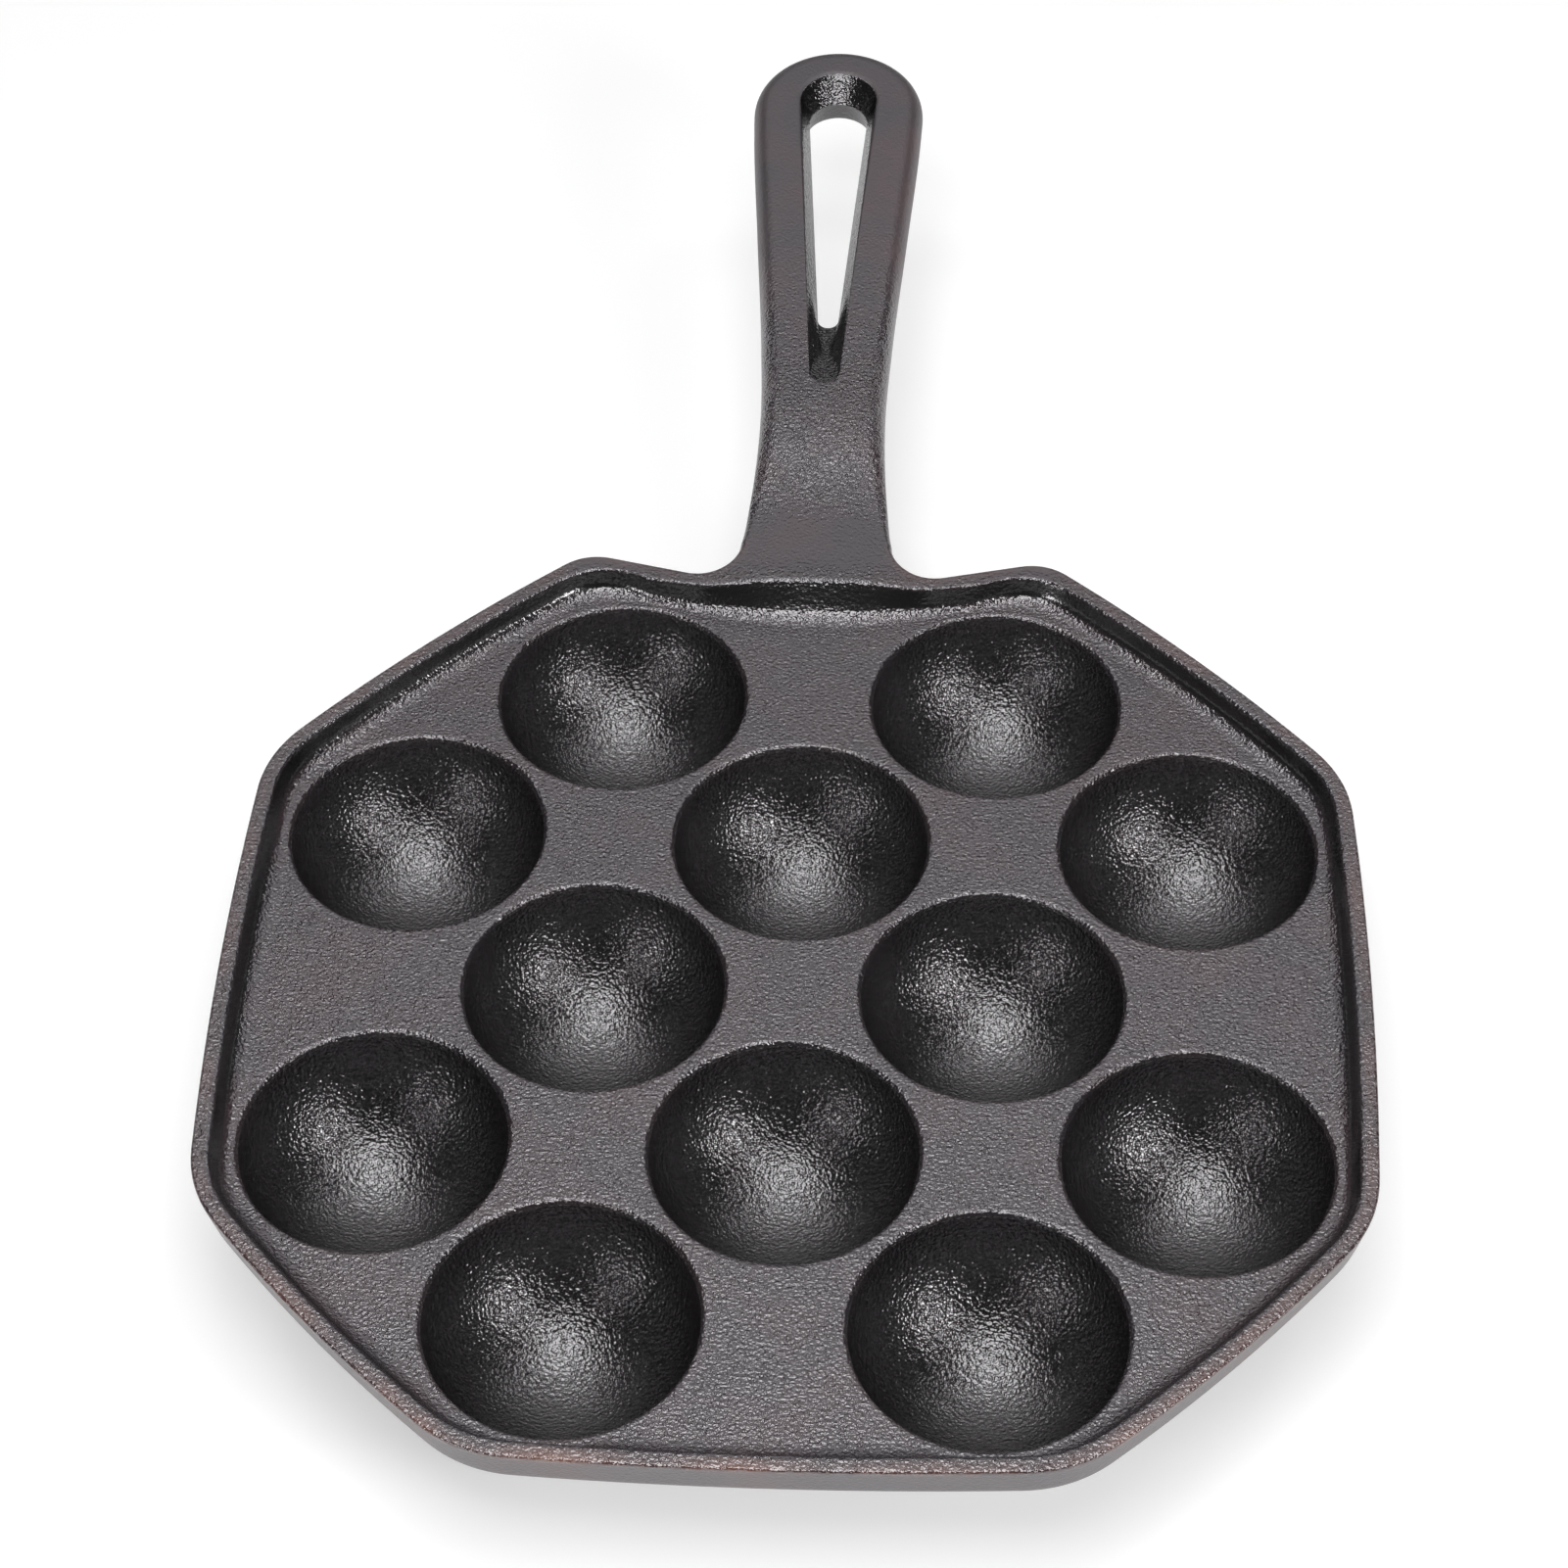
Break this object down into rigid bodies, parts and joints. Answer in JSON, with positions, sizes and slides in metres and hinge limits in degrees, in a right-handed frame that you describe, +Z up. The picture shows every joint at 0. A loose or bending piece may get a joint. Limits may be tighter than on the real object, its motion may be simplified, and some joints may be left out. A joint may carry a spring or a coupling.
{
  "type": "round-cup griddle pan",
  "caption": "Cast-iron pan with round cups for ball-shaped cakes, an eight-sided raised rim and a flat slotted handle.",
  "frame": {"origin": "on the plane that the cup feet stand on, under the middle of the cup pattern, where a burner's centre goes", "axes": "+Y from the cup pattern towards the handle's tip, +X to the right seen from the front edge, +Z up out of the cups"},
  "size_m": [0.196, 0.3387, 0.0406],
  "materials": {
    "seasoned_iron": "oil-seasoned as-cast sand surface, satin black with rust-brown worn edges"
  },
  "bodies": {
    "root": {"deck": "seasoned_iron", "rim": "seasoned_iron", "handle": "seasoned_iron", "cup_01": "seasoned_iron", "cup_02": "seasoned_iron", "cup_03": "seasoned_iron", "cup_04": "seasoned_iron", "cup_05": "seasoned_iron", "cup_06": "seasoned_iron", "cup_07": "seasoned_iron", "cup_08": "seasoned_iron", "cup_09": "seasoned_iron", "cup_10": "seasoned_iron", "cup_11": "seasoned_iron", "cup_12": "seasoned_iron"}
  },
  "joints": []
}
